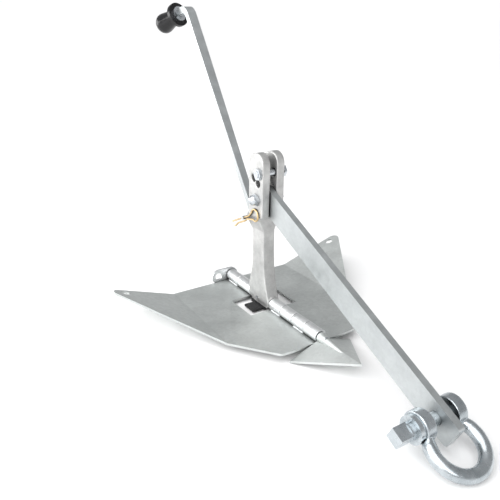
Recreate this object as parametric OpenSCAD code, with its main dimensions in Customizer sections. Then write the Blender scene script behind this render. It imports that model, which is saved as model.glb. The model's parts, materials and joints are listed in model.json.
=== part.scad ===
// Folding plow anchor: two hinged flukes, a forged shank with a fork, a pivoting arm with a bow
// shackle, and a gripped lever that is pinned behind the fork.
// Lengths are millimetres. X points forward to the shackle, Y to the anchor's left, Z up.

/* [Hinge rod] */
// Radius of the hinge rod
rod_r = 6; // [5:0.5:8]
// Outer radius of the hinge knuckles
knuckle_r = 11.3; // [8:0.1:13]
// Radial clearance of pins in their bores
pin_gap = 0.05; // [0.01:0.01:0.1]
// Gap between neighbouring knuckles
end_gap = 1.2; // [0.3:0.1:2]

/* [Flukes] */
// Length of a fluke along the rod
fluke_len = 300; // [260:1:340]
// Plate thickness of a fluke
fluke_t = 4; // [3:0.5:6]
// Width of the flat panel, from the rod axis to the bend
bend_at = 128; // [100:1:150]
// Upward bend of the outer panel in degrees
bend_deg = 22; // [5:1:35]
// Width of the outer panel, from the bend to the tip
tip_reach = 133; // [100:1:160]
// Half width of the opening around the foot of the shank
notch_half = 49; // [30:1:60]
// Radius of the rope hole near each tip
tip_hole_r = 7.5; // [4:0.5:10]

/* [Shank and fork] */
// Half width of the stem
stem_half = 12; // [9:0.5:16]
// Half width of the fork over both cheeks
fork_half = 21.8; // [18:0.1:28]
// Half width of the slot between the cheeks
slot_half = 6.65; // [6:0.05:9]
// Height of the fork's top above the rod axis
fork_top = 278; // [240:1:300]

/* [Arm] */
// Width of the flat bar
arm_w = 43; // [35:1:55]
// Thickness of the flat bar
arm_t = 10.8; // [8:0.1:12.6]
// Distance between the pivot hole and the shackle hole
arm_reach = 449; // [350:1:520]
// Slope of the arm below the rod's direction in degrees
arm_deg = 25.7; // [10:0.1:40]

/* [Shackle] */
// Radius of the bow's round stock
bow_r = 9.5; // [6:0.5:13]
// Radius of the bow's centre line
bow_big_r = 38; // [30:0.5:50]
// Radius of the screw pin
screw_r = 9.5; // [7:0.5:12]
// Half gap between the ears
ear_gap = 20; // [14:0.5:28]
// Thickness of an ear
ear_t = 16; // [12:0.5:26]
// Sideways rest position of the shackle on the arm, to the left
ear_slide = -5; // [-14:0.5:14]

/* [Lever and grip] */
// Lean of the lever behind the upright in degrees
lever_deg = 32.9; // [10:0.1:45]
// Thickness of the lever bar
lever_t = 12; // [8:0.5:16]
// Width of the lever bar at its top
lever_w = 17.5; // [12:0.5:24]
// Width of the lever bar between the lugs
lever_w_low = 13; // [10:0.5:13]
// Radius of the grip flange
grip_flange_r = 22.5; // [16:0.5:28]

/* [Hidden] */

// The nose is pitched up so that the tail tab and the nose plate's two corners rest on the ground.
nose_up = 2.62;
lift = 14.77;
shift_x = -190.45;
shift_y = 0;

fine = 64;
e = 0.01;

// Boundaries of the knuckles and the barrel along the rod.
stations = [0, 42, 91, 160, 195.3, 230.7, 266, 301.3];

// Points in the upright plane of the shank: X along the rod, Z from the rod axis.
pivot = [144, 197.5];
stop_hole = [155.5, 244];
spare_hole_a = [135.3, 234];
spare_hole_b = [148.7, 226.1];
lug_pin = [102, 154.5];
bolt_r = 6;
bolt_hole_r = 6.5;
spare_hole_r = 7.1;
lug_pin_r = 5;
lug_inner = 6.9;
neck_r = 3.4;
clip_y = -24;
clip_deg = 23.5;
wire_r = 1.7;

// Arm and shackle.
shackle_at = [pivot[0] + arm_reach * cos(arm_deg), pivot[1] - arm_reach * sin(arm_deg)];
arm_end = 33;
bow_centre = 41;
bow_droop = 1.65;
ear_r = 22;

// Lever: the straight bar ends at a corner that is rounded by the bend.
lever_corner = [-126.5, 505.8];
grip_drop = 7.5;
bend_r = 24;
turn = 90 - lever_deg + grip_drop;
tangent = bend_r * tan(turn / 2);
spigot_r = 5.8;
// Distances along the grip from the end of the bar, and the grip's own slopes.
bar_reach = 31.5;
grip_slope = 20;
grip_yaw = 16;
flange_at = 11.5;
grip_end = 70;

zinc = [0.74, 0.76, 0.78];
bright = [0.82, 0.85, 0.88];
cast = [0.70, 0.71, 0.71];
gold = [0.80, 0.62, 0.25];
black = [0.05, 0.05, 0.05];

// Carries a part from the rod's frame to the ground's frame.
module posed() {
  translate([shift_x, shift_y, lift])
    rotate([0, -nose_up, 0])
      children();
}

// Cylinder along X from x0 to x1 around the rod axis.
module along_x(x0, x1, r, r2 = -1) {
  translate([x0, 0, 0])
    rotate([0, 90, 0])
      cylinder(h = x1 - x0, r1 = r, r2 = r2 < 0 ? r : r2, $fn = fine);
}

// Cylinder along Y from y0 to y1 through a point of the upright plane.
module along_y(p, y0, y1, r) {
  translate([p[0], y1, p[1]])
    rotate([90, 0, 0])
      cylinder(h = y1 - y0, r = r, $fn = fine);
}

// Extrudes an outline of the upright plane from y0 to y1.
module upright(y0, y1) {
  translate([0, y1, 0])
    rotate([90, 0, 0])
      linear_extrude(height = y1 - y0)
        children();
}

module hex_y(p, y0, y1, flats) {
  translate([p[0], y1, p[1]])
    rotate([90, 0, 0])
      cylinder(h = y1 - y0, r = flats / 2 / cos(30), $fn = 6);
}

// ---- shank ----
module stem_outline() {
  polygon([
    [91.3, 0], [91.3, 12], [93.5, 24], [97.5, 36], [102.5, 50], [107, 66], [109, 90], [113.6, 166],
    [149, 166], [148.5, 142], [146, 90], [146.5, 66], [148.5, 46], [152, 28], [156, 14], [159.7, 4],
    [159.7, 0]
  ]);
}

module cheek_outline() {
  hull() {
    translate([115.6, 166])
      square([44.4, 1]);
    translate([140.5, fork_top - 20])
      circle(r = 18.5, $fn = fine);
    translate([147.5, fork_top - 19.5])
      circle(r = 19.5, $fn = fine);
  }
}

// Floor of the slot: level behind, then sloped to seat the arm's lower edge.
module slot_outline() {
  seat_gap = 0.35;
  low = arm_w / 2 + seat_gap;
  x0 = 100;
  x1 = 190;
  seat_x = pivot[0] + 6;
  polygon([
    [x0, seat_z(seat_x, low)], [seat_x, seat_z(seat_x, low)], [x1, seat_z(x1, low)],
    [x1, fork_top + 20], [x0, fork_top + 20]
  ]);
}

function seat_z(x, low) = pivot[1] - tan(arm_deg) * (x - pivot[0]) - low / cos(arm_deg);

module lug_outline() {
  hull() {
    translate(lug_pin)
      circle(r = 10.5, $fn = fine);
    translate([110, 134])
      square([4, 32]);
  }
}

// Holes for the fork's bolts.
module fork_holes() {
  along_y(pivot, -40, 40, bolt_hole_r);
  along_y(stop_hole, -40, 40, bolt_hole_r);
  along_y(spare_hole_a, -40, 40, spare_hole_r);
  along_y(spare_hole_b, -40, 40, spare_hole_r);
}

// Barrel, foot, stem and lugs, up to the level ledge under the fork.
module shank_stem() {
  color(cast)
    posed()
      difference() {
        union() {
          along_x(stations[2] + 0.6, stations[3] - 0.6, 11.6);
          upright(-stem_half, stem_half)
            stem_outline();
          hull() {
            translate([114.9, -fork_half + 0.5, 165])
              cube([34.1, 2 * fork_half - 1, 1]);
            translate([113, -stem_half, 138])
              cube([35.3, 2 * stem_half, 1]);
          }
          upright(-stem_half, stem_half)
            lug_outline();
          translate([96, -9, -12.5])
            cube([54, 18, 12]);
        }
        along_x(stations[2] - 5, stations[3] + 5, rod_r + pin_gap);
        upright(-lug_inner, lug_inner)
          lug_gap_outline();
        along_y(lug_pin, -40, 40, lug_pin_r + pin_gap);
        translate([120, 0, 0])
          rotate([90, 0, 0])
            cylinder(h = 60, r = 2.5, center = true, $fn = 32);
      }
}

// Two cheeks over a common base, with the slot for the arm.
module shank_fork() {
  color(cast)
    posed()
      difference() {
        upright(-fork_half, fork_half)
          cheek_outline();
        upright(-slot_half, slot_half)
          slot_outline();
        fork_holes();
      }
}

// Room between the lugs for the lever's foot, open to the rear.
module lug_gap_outline() {
  polygon([[80, 120], [111.3, 120], [112.6, 145], [113.6, 168.5], [80, 185]]);
}

module foot_pad() {
  color(black)
    posed()
      difference() {
        union() {
          translate([97, -10.5, -17.8])
            cube([45, 21, 5.8]);
          translate([108, -32, -17.8])
            cube([31, 25, 4]);
        }
        translate([90, -9.05, -12.55])
          cube([70, 18.1, 20]);
      }
}

// ---- rod and its ends ----
module hinge_rod() {
  color(bright)
    posed()
      difference() {
        union() {
          along_x(-17, 319, rod_r);
          along_x(-18, -17, rod_r - 1, rod_r);
        }
        translate([120, 0, 0])
          rotate([90, 0, 0])
            cylinder(h = 40, r = 2.5, center = true, $fn = 32);
      }
}

module shank_cross_pin() {
  color(bright)
    posed()
      translate([120, 0, 0])
        rotate([90, 0, 0])
          cylinder(h = 25.2, r = 2.45, center = true, $fn = 32);
}

module tail_tab() {
  color(zinc)
    posed()
      difference() {
        translate([-6.2, 0, 0])
          rotate([90, 0, 90])
            linear_extrude(height = 5)
              difference() {
                hull() {
                  circle(r = 14.5, $fn = fine);
                  translate([-28, 0])
                    circle(r = 14.5, $fn = fine);
                }
                translate([-29, 1])
                  circle(r = 7, $fn = fine);
              }
        along_x(-10, 2, rod_r + pin_gap);
      }
}

module tail_nut() {
  color(bright)
    posed()
      difference() {
        union() {
          along_x(-7.8, -6.2, 11.5);
          translate([-16, 0, 0])
            rotate([0, 90, 0])
              cylinder(h = 8.2, r = 9 / cos(30), $fn = 6);
        }
        along_x(-20, 0, rod_r + pin_gap);
      }
}

// ---- nose ----
nose_x0 = 302;
nose_tip = [401, 0, 0.7];
nose_ridge_z = -3;
nose_corner = [nose_x0, 62, -24.6];
nose_t = 4;

module wing(side) {
  polyhedron(
    points = [
      [nose_x0, 0, nose_ridge_z], [nose_tip[0], 0, nose_tip[2]],
      [nose_corner[0], side * nose_corner[1], nose_corner[2]],
      [nose_x0, 0, nose_ridge_z - nose_t], [nose_tip[0], 0, nose_tip[2] - nose_t],
      [nose_corner[0], side * nose_corner[1], nose_corner[2] - nose_t]
    ],
    faces = side > 0
      ? [[0, 2, 1], [3, 4, 5], [0, 1, 4, 3], [1, 2, 5, 4], [2, 0, 3, 5]]
      : [[0, 1, 2], [3, 5, 4], [0, 3, 4, 1], [1, 4, 5, 2], [2, 5, 3, 0]]
  );
}

module nose_body() {
  union() {
    wing(1);
    wing(-1);
  }
}

module nose_cone() {
  translate([nose_x0, 0, -1])
    rotate([0, 92, 0])
      cylinder(h = 62, r1 = 9.2, r2 = 1.2, $fn = fine);
}

module nose_plate() {
  color(zinc)
    posed()
      difference() {
        nose_body();
        nose_cone();
      }
}

module nose_socket() {
  color(zinc)
    posed()
      difference() {
        nose_cone();
        along_x(290, 319.5, rod_r + pin_gap);
        translate([nose_x0 - 10, -20, -40])
          cube([100, 40, 40 - 7.2]);
      }
}

// ---- fasteners of the fork ----
module pivot_bolt() {
  color(bright)
    posed()
      union() {
        along_y(pivot, -33, fork_half + 0.2, bolt_r);
        hex_y(pivot, fork_half + 0.2, fork_half + 5.7, 18);
      }
}

module pivot_cap_nut() {
  color(bright)
    posed()
      difference() {
        union() {
          hex_y(pivot, -fork_half - 5, -fork_half - 0.2, 19);
          along_y(pivot, -fork_half - 6, -fork_half - 5, 9.1);
          translate([pivot[0], -fork_half - 6, pivot[1]])
            difference() {
              sphere(r = 9.1, $fn = fine);
              translate([-20, 0, -20])
                cube([40, 40, 40]);
            }
        }
        along_y(pivot, -33.2, 0, bolt_r + pin_gap);
      }
}

module arm_spacers() {
  color(bright)
    posed()
      for (y0 = [-slot_half + 0.05, arm_t / 2 + 0.3])
        difference() {
          along_y(pivot, y0, y0 + slot_half - arm_t / 2 - 0.35, 12);
          along_y(pivot, -20, 20, bolt_hole_r);
        }
}

module stop_bolt() {
  color(bright)
    posed()
      union() {
        along_y(stop_hole, -fork_half - 6.4, fork_half + 0.2, bolt_r);
        hex_y(stop_hole, fork_half + 0.2, fork_half + 5.7, 18);
      }
}

module stop_nut() {
  color(bright)
    posed()
      difference() {
        hex_y(stop_hole, -fork_half - 5.4, -fork_half - 0.2, 18);
        along_y(stop_hole, -60, 0, bolt_r + pin_gap);
      }
}

module lock_pin() {
  color(bright)
    posed()
      difference() {
        union() {
          along_y(lug_pin, -stem_half - 0.6, stem_half + 0.2, lug_pin_r);
          along_y(lug_pin, clip_y - 3.6, -stem_half, neck_r);
          along_y(lug_pin, stem_half + 0.2, stem_half + 4, 8);
        }
        translate([lug_pin[0], clip_y, lug_pin[1]])
          rotate([0, 90 - clip_deg, 0])
            cylinder(h = 30, r = wire_r + 0.08, center = true, $fn = 32);
      }
}

// ---- flukes ----
plate_top = -9.6;
plate_low = plate_top - fluke_t;
strip = 3;
clear_in = 6.7;
round_bend = 8;

// Points of the bend in the plane across the rod, as [outward, up] pairs.
function bend_arc(r, n) = [
  for (i = [0 : n])
    [bend_at + r * sin(bend_deg * i / n), plate_top + round_bend - r * cos(bend_deg * i / n)]
];

// Cross-section of the flat panel, from the rod to the bend.
module panel_section() {
  polygon([[-strip, plate_low], [bend_at, plate_low], [bend_at, plate_top], [-strip, plate_top]]);
}

// Cross-section of the outer panel with its bend.
module wing_section() {
  out = tip_reach + 20;
  top_r = round_bend;
  low_r = round_bend + fluke_t;
  top_end = [bend_at + top_r * sin(bend_deg) + out * cos(bend_deg),
             plate_top + round_bend - top_r * cos(bend_deg) + out * sin(bend_deg)];
  low_end = [bend_at + low_r * sin(bend_deg) + out * cos(bend_deg),
             plate_top + round_bend - low_r * cos(bend_deg) + out * sin(bend_deg)];
  arc_low = bend_arc(low_r, 4);
  polygon(concat(arc_low, [low_end, top_end], [for (i = [4 : -1 : 0]) bend_arc(top_r, 4)[i]]));
}

// Outline from above: the outer panel is foreshortened by its bend.
module fluke_plan() {
  k = cos(bend_deg);
  offset(r = 6, $fn = 32)
    offset(r = -12, $fn = 32)
      offset(r = 6, $fn = 32)
        union() {
          polygon([[0, -30], [0, bend_at], [224.6, bend_at], [297.9, 75], [299.8, 58], [299.8, -30]]);
          hull() {
            translate([0, bend_at])
              square([1, 0.5]);
            translate([223.6, bend_at])
              square([1, 0.5]);
            translate([29, bend_at + 119 * k])
              scale([1, k])
                circle(r = 14, $fn = fine);
          }
        }
}

// Cuts a section that runs along the rod to the fluke's outline.
module plate_between() {
  intersection() {
    rotate([90, 0, 90])
      linear_extrude(height = fluke_len)
        children();
    translate([0, 0, -40])
      linear_extrude(height = 160)
        fluke_plan();
  }
}

// own is the list of knuckle stations that belong to this fluke.
module fluke_panel(own) {
  side_gap = 0.4;
  difference() {
    plate_between()
      panel_section();
    for (i = [0 : 6])
      if (len(search(i, own)) == 0) {
        from = stations[i] - (i == 0 ? 5 : side_gap);
        to = stations[i + 1] + (i == 6 ? 5 : side_gap);
        translate([from, -40, -30])
          cube([to - from, 40 + (i == 2 ? notch_half : clear_in), 40]);
      }
    for (i = own)
      for (x = [stations[i], stations[i + 1]])
        translate([x - end_gap / 2, -40, -30])
          cube([end_gap, 40 + clear_in, 40]);
  }
}

module fluke_wing() {
  difference() {
    plate_between()
      wing_section();
    translate([27, bend_at + 110 * cos(bend_deg), plate_top + 110 * sin(bend_deg)])
      rotate([bend_deg, 0, 0])
        cylinder(h = 40, r = tip_hole_r, center = true, $fn = fine);
  }
}

// Knuckle barrel with chamfered ends.
module barrel(x0, x1, r) {
  edge = 0.9;
  translate([x0, 0, 0])
    rotate([0, 90, 0])
      rotate_extrude($fn = fine)
        polygon([[0, 0], [r - edge, 0], [r, edge], [r, x1 - x0 - edge], [r - edge, x1 - x0], [0, x1 - x0]]);
}

module knuckles(own) {
  for (i = own)
    difference() {
      barrel(stations[i] + end_gap / 2, stations[i + 1] - end_gap / 2, knuckle_r);
      along_x(stations[i] - 5, stations[i + 1] + 5, rod_r + pin_gap);
      translate([stations[i] - 5, -20, -30])
        cube([stations[i + 1] - stations[i] + 10, 40, 30 + plate_top]);
    }
}

right_own = [0, 3, 5];
left_own = [1, 4, 6];

module right_panel() {
  color(zinc)
    posed()
      mirror([0, 1, 0])
        fluke_panel(right_own);
}

module right_wing() {
  color(zinc)
    posed()
      mirror([0, 1, 0])
        fluke_wing();
}

module left_panel() {
  color(zinc)
    posed()
      fluke_panel(left_own);
}

module left_wing() {
  color(zinc)
    posed()
      fluke_wing();
}

module right_knuckles() {
  color(zinc)
    posed()
      knuckles(right_own);
}

module left_knuckles() {
  color(zinc)
    posed()
      knuckles(left_own);
}

// ---- arm ----
module arm_outline() {
  difference() {
    union() {
      circle(r = arm_w / 2, $fn = fine);
      translate([0, -arm_w / 2])
        square([arm_reach, arm_w]);
      hull() {
        translate([arm_reach, -arm_w / 2])
          square([1, arm_w]);
        for (s = [-1, 1])
          translate([arm_reach + arm_end - 6, s * (arm_w / 2 - 6)])
            circle(r = 6, $fn = 32);
      }
    }
    circle(r = bolt_r + pin_gap, $fn = fine);
    translate([arm_reach, 0])
      circle(r = screw_r + 0.3, $fn = fine);
  }
}

module arm_bar() {
  color(zinc)
    posed()
      translate([pivot[0], 0, pivot[1]])
        rotate([0, arm_deg, 0])
          translate([0, arm_t / 2, 0])
            rotate([90, 0, 0])
              linear_extrude(height = arm_t)
                arm_outline();
}

// ---- shackle ----
// Places the shackle: X along the bow, Y along the screw pin.
module shackle_frame() {
  posed()
    translate([shackle_at[0], ear_slide, shackle_at[1]])
      rotate([0, arm_deg + bow_droop, 0])
        children();
}

bow_open = 112;
leg_end = [bow_centre + bow_big_r * cos(bow_open), bow_big_r * sin(bow_open)];
leg_len = (leg_end[0] - 11) / sin(bow_open);
leg_tuck = 3;

module shackle_bow() {
  color(bright)
    shackle_frame()
      difference() {
        union() {
          translate([bow_centre, 0, 0])
            rotate([0, 0, -bow_open])
              rotate_extrude(angle = 2 * bow_open, $fn = 96)
                translate([bow_big_r, 0])
                  circle(r = bow_r, $fn = 32);
          for (s = [-1, 1]) {
            translate([leg_end[0], s * leg_end[1], 0])
              rotate([0, 0, s * (bow_open - 90)])
                translate([leg_tuck, 0, 0])
                  rotate([0, -90, 0])
                    cylinder(h = leg_len + leg_tuck, r1 = bow_r - 0.2, r2 = bow_r - 1.6, $fn = 32);
            along_y([0, 0], s > 0 ? ear_gap : -ear_gap - ear_t, s > 0 ? ear_gap + ear_t : -ear_gap, ear_r);
          }
        }
        along_y([0, 0], -80, 80, screw_r + pin_gap);
        along_y([0, 0], -80, -ear_gap - ear_t, 19.8);
        along_y([0, 0], ear_gap + ear_t, 80, 19.8);
      }
}

module shackle_pin() {
  color(bright)
    shackle_frame()
      union() {
        along_y([0, 0], -ear_gap - ear_t - 8, ear_gap + ear_t + 1.5, screw_r);
        along_y([0, 0], -ear_gap - ear_t - 8.3, -ear_gap - ear_t - 0.3, 19);
        along_y([0, 0], -ear_gap - ear_t - 16, -ear_gap - ear_t - 8, 12);
        translate([-10, -ear_gap - ear_t - 36, -10])
          rotate([0, 0, 0])
            cube([20, 21, 20]);
      }
}

// ---- lever and grip ----
// Places the straight bar: X forward across the bar, Z up along it, origin at the lock pin.
module lever_frame() {
  posed()
    translate([lug_pin[0], 0, lug_pin[1]])
      rotate([0, -lever_deg, 0])
        children();
}

lever_len = norm(lever_corner - lug_pin);
heel = 10;

// Places the grip: Z along the grip, origin at the end of the bar.
module grip_frame() {
  posed()
    translate([lever_corner[0], 0, lever_corner[1]] - bar_reach * [cos(grip_drop), 0, sin(grip_drop)])
      rotate([0, 0, grip_yaw])
        rotate([0, -90 - grip_slope, 0])
          children();
}

lever_top = lever_len - tangent;
bend_steps = 12;

// Point on a circle around the bend's centre, in the lever's own plane.
function on_bend(r, a) = [r * cos(a) - bend_r, lever_top + r * sin(a)];

module lever_outline() {
  out_r = bend_r + lever_t / 2;
  in_r = bend_r - lever_t / 2;
  reach = bar_reach - tangent;
  away = reach * [-sin(turn), cos(turn)];
  polygon(concat(
    [[-lever_t / 2, -heel], [lever_t / 2, -heel]],
    [for (i = [0 : bend_steps]) on_bend(out_r, turn * i / bend_steps)],
    [on_bend(out_r, turn) + away, on_bend(in_r, turn) + away],
    [for (i = [bend_steps : -1 : 0]) on_bend(in_r, turn * i / bend_steps)]
  ));
}

module lever_front_outline() {
  polygon([
    [-lever_w_low / 2, -40], [lever_w_low / 2, -40], [lever_w_low / 2, 42], [lever_w / 2, 340],
    [lever_w / 2, 600], [-lever_w / 2, 600], [-lever_w / 2, 340], [-lever_w_low / 2, 42]
  ]);
}

module lever_bar() {
  color(zinc)
    difference() {
      union() {
        lever_frame()
          intersection() {
            upright(-lever_w / 2, lever_w / 2)
              lever_outline();
            translate([-400, 0, 0])
              rotate([90, 0, 90])
                linear_extrude(height = 600)
                  lever_front_outline();
          }
        grip_frame()
          translate([0, 0, -4])
            cylinder(h = grip_end - 8 + 4, r = spigot_r, $fn = fine);
      }
      posed()
        along_y(lug_pin, -40, 40, lug_pin_r + pin_gap);
    }
}

module grip_washer() {
  color(bright)
    grip_frame()
      difference() {
        translate([0, 0, flange_at - 4])
          cylinder(h = 3.9, r = 14, $fn = fine);
        translate([0, 0, -5])
          cylinder(h = 30, r = spigot_r + 0.05, $fn = fine);
      }
}

module grip_flange() {
  color(black)
    grip_frame()
      difference() {
        translate([0, 0, flange_at])
          cylinder(h = 7, r = grip_flange_r, $fn = fine);
        translate([0, 0, -5])
          cylinder(h = 40, r = spigot_r + 0.05, $fn = fine);
      }
}

module grip_sleeve() {
  color(black)
    grip_frame()
      difference() {
        rotate_extrude($fn = fine)
          polygon([
            [0, flange_at + 7], [13.5, flange_at + 7], [14, 24], [15.2, 33], [17, 44], [18.5, 52],
            [19.2, 57], [18.9, 62], [17, 66.5], [13.5, 69.2], [9, grip_end], [0, grip_end]
          ]);
        translate([0, 0, -5])
          cylinder(h = grip_end - 7 + 5, r = spigot_r + 0.05, $fn = fine);
      }
}

module grip_end_cap() {
  color([0.45, 0.46, 0.47])
    grip_frame()
      translate([0, 0, grip_end])
        cylinder(h = 2.5, r1 = 8.5, r2 = 7, $fn = fine);
}

// ---- spring clip ----
// Places the clip: X along its straight leg, forward and up, origin at the lock pin.
module clip_frame() {
  posed()
    translate([lug_pin[0], clip_y, lug_pin[1]])
      rotate([0, -clip_deg, 0])
        children();
}

clip_eye = 10.5;
clip_eye_at = [41, -2.2];
clip_tail = -45;
clip_open = 143;
clip_sides = 12;
// The bent leg dips towards the straight one ahead of the pin and clears the pin behind it.
clip_wave = [[22, -6.2], [12, -4.6], [2, -6.2], [-22, -6.1], [-41, -9.5]];

function eye_point(a) = clip_eye_at + clip_eye * [cos(a), sin(a)];
function ease(a, b, t) = a + (b - a) * (1 - cos(180 * t)) / 2;

// Straight leg, a flare up to the round eye, the eye, and the bent leg.
function clip_path() = let (
  up = eye_point(clip_open),
  down = eye_point(-clip_open),
  wave = concat([down], clip_wave)
) concat(
  [for (x = [clip_tail : 16 : 19]) [x, 0]],
  [for (t = [0.25 : 0.25 : 0.75]) [19 + (up[0] - 19) * t, ease(0, up[1], t)]],
  [for (a = [clip_open : -15 : -clip_open + 7]) eye_point(a)],
  [down],
  [for (i = [0 : len(wave) - 2], t = [0.25 : 0.25 : 1])
    [wave[i][0] + (wave[i + 1][0] - wave[i][0]) * t, ease(wave[i][1], wave[i + 1][1], t)]]
);

// Points of a round section around each point of a path in the XZ plane.
function wire_points(path) = [
  for (i = [0 : len(path) - 1])
    let (
      before = path[max(i - 1, 0)],
      after = path[min(i + 1, len(path) - 1)],
      way = (after - before) / norm(after - before)
    )
    for (j = [0 : clip_sides - 1])
      let (a = 360 * j / clip_sides)
      [path[i][0] - way[1] * wire_r * cos(a), -wire_r * sin(a), path[i][1] + way[0] * wire_r * cos(a)]
];

function wire_faces(count) = concat(
  [[for (j = [0 : clip_sides - 1]) j]],
  [for (i = [0 : count - 2], j = [0 : clip_sides - 1])
    let (k = (j + 1) % clip_sides)
    [i * clip_sides + j, (i + 1) * clip_sides + j, (i + 1) * clip_sides + k, i * clip_sides + k]],
  [[for (j = [clip_sides - 1 : -1 : 0]) (count - 1) * clip_sides + j]]
);

module spring_clip() {
  path = clip_path();
  color(gold)
    clip_frame()
      polyhedron(points = wire_points(path), faces = wire_faces(len(path)));
}

shank_stem();
shank_fork();
foot_pad();
hinge_rod();
shank_cross_pin();
tail_tab();
tail_nut();
nose_plate();
nose_socket();
pivot_bolt();
pivot_cap_nut();
arm_spacers();
stop_bolt();
stop_nut();
lock_pin();
right_panel();
right_wing();
right_knuckles();
left_panel();
left_wing();
left_knuckles();
arm_bar();
shackle_bow();
shackle_pin();
lever_bar();
grip_washer();
grip_flange();
grip_sleeve();
grip_end_cap();
spring_clip();
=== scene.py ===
import json
import math
import random

import bmesh
import bpy
from mathutils import Matrix, Vector
from mathutils import noise as wave


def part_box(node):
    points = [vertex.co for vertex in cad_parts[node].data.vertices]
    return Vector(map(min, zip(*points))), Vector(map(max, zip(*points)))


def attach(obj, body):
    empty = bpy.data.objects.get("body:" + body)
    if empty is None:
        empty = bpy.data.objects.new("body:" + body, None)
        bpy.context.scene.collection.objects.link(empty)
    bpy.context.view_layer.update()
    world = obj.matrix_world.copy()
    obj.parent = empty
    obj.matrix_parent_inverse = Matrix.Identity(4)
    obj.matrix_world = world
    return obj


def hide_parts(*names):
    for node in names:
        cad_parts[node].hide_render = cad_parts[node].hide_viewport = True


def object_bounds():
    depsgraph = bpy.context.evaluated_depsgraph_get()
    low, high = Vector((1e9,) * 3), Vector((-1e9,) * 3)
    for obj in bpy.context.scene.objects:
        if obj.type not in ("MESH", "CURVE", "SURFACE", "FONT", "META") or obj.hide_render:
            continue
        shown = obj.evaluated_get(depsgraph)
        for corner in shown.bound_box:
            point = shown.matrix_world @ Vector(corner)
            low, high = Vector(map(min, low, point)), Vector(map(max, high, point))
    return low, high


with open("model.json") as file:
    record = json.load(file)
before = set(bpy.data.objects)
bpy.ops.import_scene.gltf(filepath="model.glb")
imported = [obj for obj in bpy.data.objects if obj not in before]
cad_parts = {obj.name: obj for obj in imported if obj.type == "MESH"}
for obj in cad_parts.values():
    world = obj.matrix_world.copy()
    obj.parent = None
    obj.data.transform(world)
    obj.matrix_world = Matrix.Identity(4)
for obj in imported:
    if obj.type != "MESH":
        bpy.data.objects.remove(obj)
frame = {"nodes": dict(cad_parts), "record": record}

cad_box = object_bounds()
scene = bpy.context.scene
nodes = frame["nodes"]
joints = {j["name"]: j for j in frame["record"]["behaviour"]["joints"]}
MM = 0.001
HINGE_STATION = 100.0    # how far the fluke hinge's stated point is along the rod from its start, in mm

# ---- the rod's own frame, in which most of the anchor is square ----
rod_way = Vector(joints["left_fluke_fold"]["axis"]).normalized()
rod_point = Vector(joints["left_fluke_fold"]["pos_m"])
rod_up = Vector((-rod_way.z, 0.0, rod_way.x))
tail = rod_point - rod_way * (HINGE_STATION * MM)


def rod(x, y, z):
    """Point in row metres from millimetres along the rod, to the left and up."""
    return tail + rod_way * (x * MM) + Vector((0, y * MM, 0)) + rod_up * (z * MM)


# ---- materials ----
def new_material(name):
    """A material with its node tree and its Principled shader."""
    m = bpy.data.materials.new(name)
    m.use_nodes = True
    t = m.node_tree
    b = t.nodes["Principled BSDF"]
    return m, t, b


def add(tree, kind, **values):
    """A new node; each value goes to the input of that name, or else to the node's own property."""
    n = tree.nodes.new(kind)
    for k, v in values.items():
        if k in n.inputs:
            n.inputs[k].default_value = v
        else:
            setattr(n, k, v)
    return n


def ramp(tree, source, stops):
    """A colour ramp over (position, colour) stops."""
    r = tree.nodes.new("ShaderNodeValToRGB")
    el = r.color_ramp.elements
    while len(el) < len(stops):
        el.new(0.5)
    for e, (p, c) in zip(el, stops):
        e.position = p
        e.color = c if len(c) == 4 else (*c, 1.0)
    tree.links.new(source, r.inputs["Fac"])
    return r


def grey(v):
    """An opaque grey."""
    return (v, v, v, 1.0)


def noise(tree, coords, scale, detail, rough=0.55):
    """A noise texture on the given coordinates."""
    n = add(tree, "ShaderNodeTexNoise", Scale=scale, Detail=detail, Roughness=rough)
    tree.links.new(coords, n.inputs["Vector"])
    return n


def spread(tree, source, low, high):
    """A noise's middle range, stretched to run from low to high."""
    r = tree.nodes.new("ShaderNodeMapRange")
    r.inputs["From Min"].default_value = 0.3
    r.inputs["From Max"].default_value = 0.7
    r.inputs["To Min"].default_value = low
    r.inputs["To Max"].default_value = high
    tree.links.new(source, r.inputs["Value"])
    return r.outputs["Result"]


def bump_normal(tree, height, strength, distance, shader):
    """Fine relief on the shader's normal."""
    n = tree.nodes.new("ShaderNodeBump")
    n.inputs["Strength"].default_value = strength
    n.inputs["Distance"].default_value = distance
    tree.links.new(height, n.inputs["Height"])
    tree.links.new(n.outputs["Normal"], shader.inputs["Normal"])


def mix(tree, a, b, fac=None, mode="MIX", amount=0.5):
    """A blend of two colours, each a socket or a plain value."""
    n = tree.nodes.new("ShaderNodeMix")
    n.data_type = "RGBA"
    n.blend_type = mode
    n.inputs["Factor"].default_value = amount
    if fac is not None:
        tree.links.new(fac, n.inputs["Factor"])
    for value, socket in ((a, n.inputs["A"]), (b, n.inputs["B"])):
        if isinstance(value, tuple):
            socket.default_value = value
        else:
            tree.links.new(value, socket)
    return n.outputs["Result"]


EDGE_WEAR = 0.35         # how far worn edges turn paler
WORN_GAIN = 1.18         # brightness of a worn edge over the light tone
CREVICE_SHADE_REACH = 0.024    # how far away a surface still casts painted shade into a crevice, in metres


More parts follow.
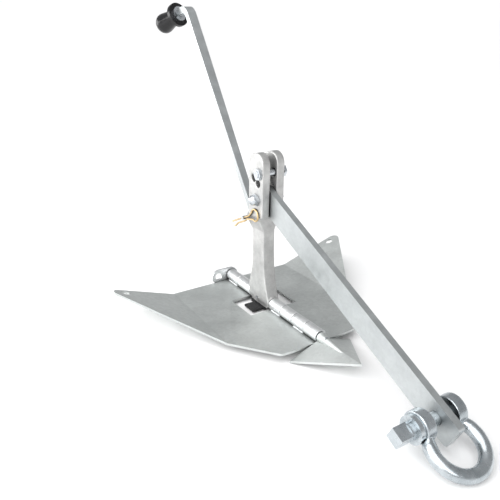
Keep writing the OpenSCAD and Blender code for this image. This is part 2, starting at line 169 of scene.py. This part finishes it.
def zinc(name, dark, light, rough, spangle=0.0, patch=28.0, grain=900.0, bump=0.15, pits=0.0, crevice_shade=0.85):
    """Zinc-coated steel: cloudy patches, fine grain, pits, paler worn edges, and painted shade that darkens
    the crevices.
    """
    m, t, b = new_material(name)
    b.inputs["Metallic"].default_value = 1.0
    vec = t.nodes.new("ShaderNodeTexCoord").outputs["Object"]
    cloud = noise(t, vec, patch, 6.0, 0.6)
    body = ramp(t, cloud.outputs["Fac"], [(0.32, dark), (0.68, light)]).outputs["Color"]
    if spangle:
        cells = add(t, "ShaderNodeTexVoronoi", Scale=spangle, Randomness=1.0)
        t.links.new(vec, cells.inputs["Vector"])
        tone = ramp(t, cells.outputs["Color"], [(0.1, grey(0.80)), (0.9, grey(1.0))]).outputs["Color"]
        body = mix(t, body, tone, mode="MULTIPLY", amount=0.55)
    fine = noise(t, vec, grain, 3.0, 0.7)
    speck = ramp(t, fine.outputs["Fac"], [(0.35, grey(0.88)), (0.65, grey(1.0))]).outputs["Color"]
    body = mix(t, body, speck, mode="MULTIPLY", amount=0.6)
    geo = t.nodes.new("ShaderNodeNewGeometry")
    worn = ramp(t, geo.outputs["Pointiness"], [(0.50, grey(0.0)), (0.58, grey(1.0))])
    wear = t.nodes.new("ShaderNodeMath")
    wear.operation = "MULTIPLY"
    wear.inputs[1].default_value = EDGE_WEAR
    t.links.new(worn.outputs["Color"], wear.inputs[0])
    worn_tone = tuple(min(1.0, c * WORN_GAIN) for c in light[:3]) + (1.0,)
    body = mix(t, body, worn_tone, fac=wear.outputs[0])
    # Painted shade: the base colour is darkened where nearby surfaces close in, as shade in crevices and
    # between parts.
    shade_ao = add(t, "ShaderNodeAmbientOcclusion", Distance=CREVICE_SHADE_REACH)
    shade_ao.samples = 8
    shade = ramp(t, shade_ao.outputs["AO"], [(0.14, grey(0.08)), (0.70, grey(1.0))]).outputs["Color"]
    body = mix(t, body, shade, mode="MULTIPLY", amount=crevice_shade)
    t.links.new(body, b.inputs["Base Color"])
    smear = noise(t, vec, patch * 2.3, 5.0, 0.6)
    t.links.new(spread(t, smear.outputs["Fac"], *rough), b.inputs["Roughness"])
    height = mix(t, fine.outputs["Fac"], smear.outputs["Fac"], amount=0.35)
    if pits:
        hole = add(t, "ShaderNodeTexVoronoi", Scale=pits)
        t.links.new(vec, hole.inputs["Vector"])
        dent = ramp(t, hole.outputs["Distance"], [(0.0, grey(0.0)), (0.35, grey(1.0))]).outputs["Color"]
        height = mix(t, height, dent, mode="MULTIPLY", amount=0.6)
    bump_normal(t, height, bump, 0.6 * MM, b)
    return m


plate_zinc = zinc("galvanised_plate", (0.60, 0.63, 0.62, 1), (0.69, 0.715, 0.705, 1),
                  rough=(0.46, 0.60), spangle=190.0, patch=9.0, bump=0.08)
bar_zinc = zinc("zinc_bar", (0.45, 0.475, 0.48, 1), (0.56, 0.585, 0.59, 1),
                rough=(0.34, 0.50), spangle=210.0, patch=22.0, bump=0.10)
forged_zinc = zinc("forged_zinc", (0.48, 0.48, 0.475, 1), (0.64, 0.64, 0.63, 1),
                   rough=(0.48, 0.66), patch=45.0, grain=520.0, bump=0.55, pits=420.0)
# Knuckle zinc is paler than the plate zinc. The extra paleness is painted highlight for the lit side of the
# knuckle tubes. It also colours the weld beads and the tail tab.
knuckle_zinc_painted_highlight = zinc("knuckle_zinc_painted_highlight", (0.62, 0.64, 0.65, 1), (0.84, 0.85, 0.86, 1),
                    rough=(0.34, 0.52), patch=60.0, grain=700.0, bump=0.25)
shackle_zinc = zinc("shackle_zinc", (0.38, 0.42, 0.445, 1), (0.60, 0.64, 0.665, 1),
                    rough=(0.20, 0.36), patch=48.0, grain=650.0, bump=0.16, crevice_shade=0.4)
bolt_zinc = zinc("bright_zinc", (0.50, 0.53, 0.56, 1), (0.70, 0.73, 0.76, 1),
                 rough=(0.20, 0.34), patch=70.0, grain=900.0, bump=0.10)
yellow_zinc = zinc("yellow_zinc", (0.50, 0.33, 0.14, 1), (0.78, 0.60, 0.34, 1),
                   rough=(0.24, 0.38), patch=120.0, grain=1400.0, bump=0.08)
dark_steel = zinc("dark_steel", (0.07, 0.07, 0.075, 1), (0.13, 0.13, 0.135, 1),
                  rough=(0.3, 0.45), patch=120.0)


def rubber(name, shine, level=0.5):
    """Black rubber with a cloudy sheen between two roughnesses."""
    m, t, b = new_material(name)
    coord = t.nodes.new("ShaderNodeTexCoord").outputs["Object"]
    cloud = noise(t, coord, 60.0, 5.0)
    body = ramp(t, cloud.outputs["Fac"], [(0.3, (0.003, 0.003, 0.0035)), (0.7, (0.008, 0.008, 0.009))])
    t.links.new(body.outputs["Color"], b.inputs["Base Color"])
    scuff = noise(t, coord, 140.0, 6.0)
    t.links.new(spread(t, scuff.outputs["Fac"], *shine), b.inputs["Roughness"])
    skin = noise(t, coord, 1500.0, 2.0)
    bump_normal(t, skin.outputs["Fac"], 0.08, 0.4 * MM, b)
    b.inputs["IOR"].default_value = 1.52
    b.inputs["Specular IOR Level"].default_value = level
    return m


grip_rubber = rubber("grip_rubber", (0.14, 0.26), 0.38)
# A near-black, fairly rough finish for the block under the hinge barrel.
dark_foot_block_finish = rubber("dark_foot_block_finish", (0.5, 0.7))

# The material of every CAD node.
finish = {
    "shank_stem": forged_zinc, "shank_fork": forged_zinc, "foot_pad": dark_foot_block_finish,
    "hinge_rod": bolt_zinc, "shank_cross_pin": bolt_zinc, "tail_tab": knuckle_zinc_painted_highlight,
    "tail_nut": bolt_zinc, "nose_plate": plate_zinc, "nose_socket": plate_zinc,
    "pivot_bolt": bolt_zinc, "pivot_cap_nut": bolt_zinc, "arm_spacers": bolt_zinc,
    "stop_bolt": bolt_zinc, "stop_nut": bolt_zinc, "lock_pin": bolt_zinc,
    "right_panel": plate_zinc, "right_wing": plate_zinc, "right_knuckles": knuckle_zinc_painted_highlight,
    "left_panel": plate_zinc, "left_wing": plate_zinc, "left_knuckles": knuckle_zinc_painted_highlight,
    "arm_bar": bar_zinc, "shackle_bow": shackle_zinc, "shackle_pin": shackle_zinc,
    "lever_bar": bar_zinc, "grip_washer": bolt_zinc, "grip_flange": grip_rubber,
    "grip_sleeve": grip_rubber, "grip_end_cap": dark_steel, "spring_clip": yellow_zinc,
}
# Width in mm of the rounding that a carried-over node gets on its sharp edges.
soft_edge = {
    "nose_plate": 0.6, "nose_socket": 0.5, "tail_tab": 0.7, "arm_bar": 0.9, "lever_bar": 0.9,
    "pivot_bolt": 0.7, "stop_bolt": 0.7, "stop_nut": 0.7, "tail_nut": 0.7, "pivot_cap_nut": 0.6,
    "right_knuckles": 0.5, "left_knuckles": 0.5, "shackle_pin": 1.2, "grip_flange": 1.6,
    "grip_washer": 0.5, "foot_pad": 1.2, "hinge_rod": 0.5, "lock_pin": 0.5,
}


def round_edges(obj, width):
    """A fine bevel, in mm, on edges sharper than a bend."""
    bevel = obj.modifiers.new("soft_edge", "BEVEL")
    bevel.width = width * MM
    bevel.segments = 3
    bevel.limit_method = "ANGLE"
    bevel.angle_limit = math.radians(38)


for name, obj in nodes.items():
    obj.data.materials.clear()
    obj.data.materials.append(finish[name])
    if name in soft_edge:
        round_edges(obj, soft_edge[name])


# ---- piece helpers ----
def make_object(name, bm, material, body, smooth=40):
    """An object from a bmesh, shaded smooth below an angle, that rides its body."""
    mesh = bpy.data.meshes.new(name)
    bm.to_mesh(mesh)
    bm.free()
    mesh.materials.append(material)
    obj = bpy.data.objects.new(name, mesh)
    scene.collection.objects.link(obj)
    mesh.shade_smooth()
    mesh.set_sharp_from_angle(angle=math.radians(smooth))
    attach(obj, body)
    return obj


def joined(sources):
    """One mesh that holds the meshes of several nodes."""
    bm = bmesh.new()
    for n in sources:
        bm.from_mesh(nodes[n].data)
    mesh = bpy.data.meshes.new("joined")
    bm.to_mesh(mesh)
    bm.free()
    return mesh


def forged_copy(sources, name, body, material, voxel, passes, rough_size=0.0, rough_scale=60.0):
    """A forging's copy: one skin with rounded edges and inner corners, and a slightly uneven surface."""
    obj = bpy.data.objects.new(name, joined(sources))
    scene.collection.objects.link(obj)
    r = obj.modifiers.new("skin", "REMESH")
    r.mode = "VOXEL"
    r.voxel_size = voxel * MM
    s = obj.modifiers.new("round", "SMOOTH")
    s.factor = 0.5
    s.iterations = passes
    bpy.context.view_layer.update()
    deps = bpy.context.evaluated_depsgraph_get()
    done = bpy.data.meshes.new_from_object(obj.evaluated_get(deps))
    obj.modifiers.clear()
    obj.data = done
    if rough_size:
        normals = [v.normal.copy() for v in done.vertices]
        for v, n in zip(done.vertices, normals):
            h = wave.fractal(v.co * rough_scale, 1.0, 2.0, 3)
            v.co += n * (h * rough_size * MM)
    done.materials.clear()
    done.materials.append(material)
    done.shade_smooth()
    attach(obj, body)
    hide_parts(*sources)
    return obj


def bent_plate(sources, name, body, seam_y, material):
    """A fluke's whole plate: the flat panel and the outer panel without the cut between them."""
    bm = bmesh.new()
    bm.from_mesh(joined(sources))
    bmesh.ops.remove_doubles(bm, verts=bm.verts, dist=0.03 * MM)
    inner = [f for f in bm.faces if all(abs(abs(v.co.y) - seam_y) < 0.04 * MM for v in f.verts)]
    bmesh.ops.delete(bm, geom=inner, context="FACES_ONLY")
    bmesh.ops.dissolve_limit(bm, angle_limit=math.radians(0.6), verts=bm.verts, edges=bm.edges)
    obj = make_object(name, bm, material, body, smooth=35)
    round_edges(obj, 0.7)
    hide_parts(*sources)
    return obj


forged_copy(("shank_stem", "shank_fork"), "shank_forging", "root", forged_zinc, 1.1, 5,
            rough_size=0.22, rough_scale=70.0)
forged_copy(("shackle_bow",), "bow_forging", "shackle", shackle_zinc, 1.0, 10,
            rough_size=0.12, rough_scale=60.0)
bend_y = abs(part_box("right_panel")[0][1])
for side in ("right", "left"):
    bent_plate((f"{side}_panel", f"{side}_wing"), f"{side}_plate", f"{side}_fluke", bend_y, plate_zinc)


# ---- weld beads ----
BEAD_STEP = 0.45         # length of one ring of a bead, in mm
BEAD_PITCH = 2.2         # length of one ripple, in mm
BEAD_SIDES = 9           # points on the outer face of a ring
BEAD_ROOT = 0.4          # depth of a bead's root behind the corner, in mm


def bead(name, start, end, normal_a, normal_b, size, body, material, seed):
    """A rippled fillet weld from start to end, in the corner between two directions."""
    rnd = random.Random(seed)
    bm = bmesh.new()
    total = (end - start).length
    steps = max(8, int(total / (BEAD_STEP * MM)))
    rings = []
    for k in range(steps + 1):
        d = total * k / steps
        p = start.lerp(end, k / steps)
        ripple = abs(math.sin(math.pi * d / (BEAD_PITCH * MM)))
        w = size * MM * (0.90 + 0.12 * ripple + rnd.uniform(-0.02, 0.02))
        taper = min(1.0, min(d, total - d) / (size * MM))
        w *= math.sqrt(max(0.05, taper))
        ring = []
        for j in range(BEAD_SIDES):
            a = math.pi / 2 * j / (BEAD_SIDES - 1)
            bulge = 0.80 + 0.10 * math.sin(2 * a)
            ring.append(bm.verts.new(p + (normal_a * math.cos(a) + normal_b * math.sin(a)) * w * bulge))
        ring.append(bm.verts.new(p - (normal_a + normal_b) * (BEAD_ROOT * MM)))
        rings.append(ring)
    n = BEAD_SIDES + 1
    for k in range(steps):
        for j in range(n):
            bm.faces.new((rings[k][j], rings[k][(j + 1) % n], rings[k + 1][(j + 1) % n], rings[k + 1][j]))
    bm.faces.new(rings[0])
    bm.faces.new(list(reversed(rings[-1])))
    bmesh.ops.recalc_face_normals(bm, faces=bm.faces)
    return make_object(name, bm, material, body, smooth=60)


KNUCKLE_ENDS = (0, 42, 91, 160, 195.3, 230.7, 266, 301.3)  # where knuckles meet, in mm along the rod
WELD_INSET = 2.5         # distance of a bead's end from the knuckle's end, in mm
WELD_LAST = 296          # no bead goes past this station
WELD_OUT = 7.4           # the corner between knuckle and plate: out from the rod's axis
WELD_DOWN = 9.7          # and below it
WELD_SIZE = 3.8
knuckle_owners = {"right_fluke": (-1, (0, 3, 5)), "left_fluke": (1, (1, 4, 6))}
for body, (side, own) in knuckle_owners.items():
    for k, i in enumerate(own):
        x0 = KNUCKLE_ENDS[i] + WELD_INSET
        x1 = min(KNUCKLE_ENDS[i + 1] - WELD_INSET, WELD_LAST)
        start, end = (rod(x, side * WELD_OUT, -WELD_DOWN) for x in (x0, x1))
        bead(f"{body}_weld_{k + 1}", start, end, Vector((0, side, 0)), rod_up, WELD_SIZE, body,
             knuckle_zinc_painted_highlight, seed=10 * i + k)


# ---- floor, light and camera ----
# Radius and height of the floor's rings in metres. The far part rises, so that it fills the view.
FLOOR_RINGS = ((1.5, 0.0), (20.0, 0.0), (400.0, 19.0))
FLOOR_SIDES = 64
FLOOR_DROP = 0.0002      # the floor lies this far below the anchor, so that no faces coincide

bm = bmesh.new()
rings = []
for reach, height in FLOOR_RINGS:
    turns = (2 * math.pi * k / FLOOR_SIDES for k in range(FLOOR_SIDES))
    rings.append([bm.verts.new((reach * math.cos(a), reach * math.sin(a), height)) for a in turns])
bm.faces.new(rings[0])
for near, far in zip(rings, rings[1:]):
    for k in range(FLOOR_SIDES):
        after = (k + 1) % FLOOR_SIDES
        bm.faces.new((near[k], far[k], far[after], near[after]))
floor_mesh = bpy.data.meshes.new("floor")
bm.to_mesh(floor_mesh)
bm.free()
floor = bpy.data.objects.new("floor", floor_mesh)
scene.collection.objects.link(floor)
floor.location = (0, 0, cad_box[0][2] - FLOOR_DROP)
floor_material, _, floor_shader = new_material("pale_floor")
floor_shader.inputs["Base Color"].default_value = grey(0.93)
floor_shader.inputs["Roughness"].default_value = 0.9
floor_shader.inputs["Specular IOR Level"].default_value = 0.1
floor_mesh.materials.append(floor_material)

world = bpy.data.worlds.new("studio")
scene.world = world
world.use_nodes = True
background = world.node_tree.nodes["Background"]
background.inputs["Color"].default_value = (0.985, 0.99, 1.0, 1)
background.inputs["Strength"].default_value = 0.46

MIDDLE = Vector((0, 0, 0.15))  # where the lamps point


def softbox(name, place, width, height, power):
    """A rectangular lamp that faces the anchor's middle."""
    data = bpy.data.lights.new(name, "AREA")
    data.shape = "RECTANGLE"
    data.size = width
    data.size_y = height
    data.energy = power
    obj = bpy.data.objects.new(name, data)
    scene.collection.objects.link(obj)
    obj.location = place
    obj.rotation_euler = (MIDDLE - Vector(place)).to_track_quat("-Z", "Y").to_euler()


broad_data = bpy.data.lights.new("broad_light", "SUN")
broad_data.energy = 2.5
broad_data.angle = math.radians(80)
broad = bpy.data.objects.new("broad_light", broad_data)
scene.collection.objects.link(broad)
broad.rotation_euler = Vector((-0.10, 0.55, -0.80)).to_track_quat("-Z", "Y").to_euler()

softbox("side_box", (0.4, -2.2, 1.0), 2.2, 1.6, 24)
softbox("left_box", (-1.9, -1.7, 0.55), 1.8, 1.0, 24)
softbox("front_box", (2.2, -0.9, 1.2), 0.9, 0.9, 9)

cam_data = bpy.data.cameras.new("camera")
cam = bpy.data.objects.new("camera", cam_data)
scene.collection.objects.link(cam)
scene.camera = cam
cam_data.sensor_width = 36.0
cam_data.lens = 40.7
cam_data.shift_x = -0.0258
cam_data.shift_y = -0.0043
cam_data.clip_start = 0.01


def aim(place, yaw, pitch, roll):
    """Yaw turns the view from -X towards +Y, pitch is above the horizon, roll is about the view."""
    y, p, r = (math.radians(v) for v in (yaw, pitch, roll))
    look = Vector((-math.cos(y) * math.cos(p), math.sin(y) * math.cos(p), math.sin(p)))
    right = look.cross(Vector((0, 0, 1))).normalized()
    up = right.cross(look)
    side = right * math.cos(r) + up * math.sin(r)
    top = up * math.cos(r) - right * math.sin(r)
    cam.matrix_world = Matrix.Translation(place) @ Matrix((side, top, -look)).transposed().to_4x4()


CAMERA_PLACE = Vector((0.7273, -0.4974, 0.5301))
aim(CAMERA_PLACE, yaw=31.99, pitch=-23.65, roll=0.29)

scene.view_settings.view_transform = "Standard"
scene.view_settings.look = "None"
scene.view_settings.exposure = 0.0
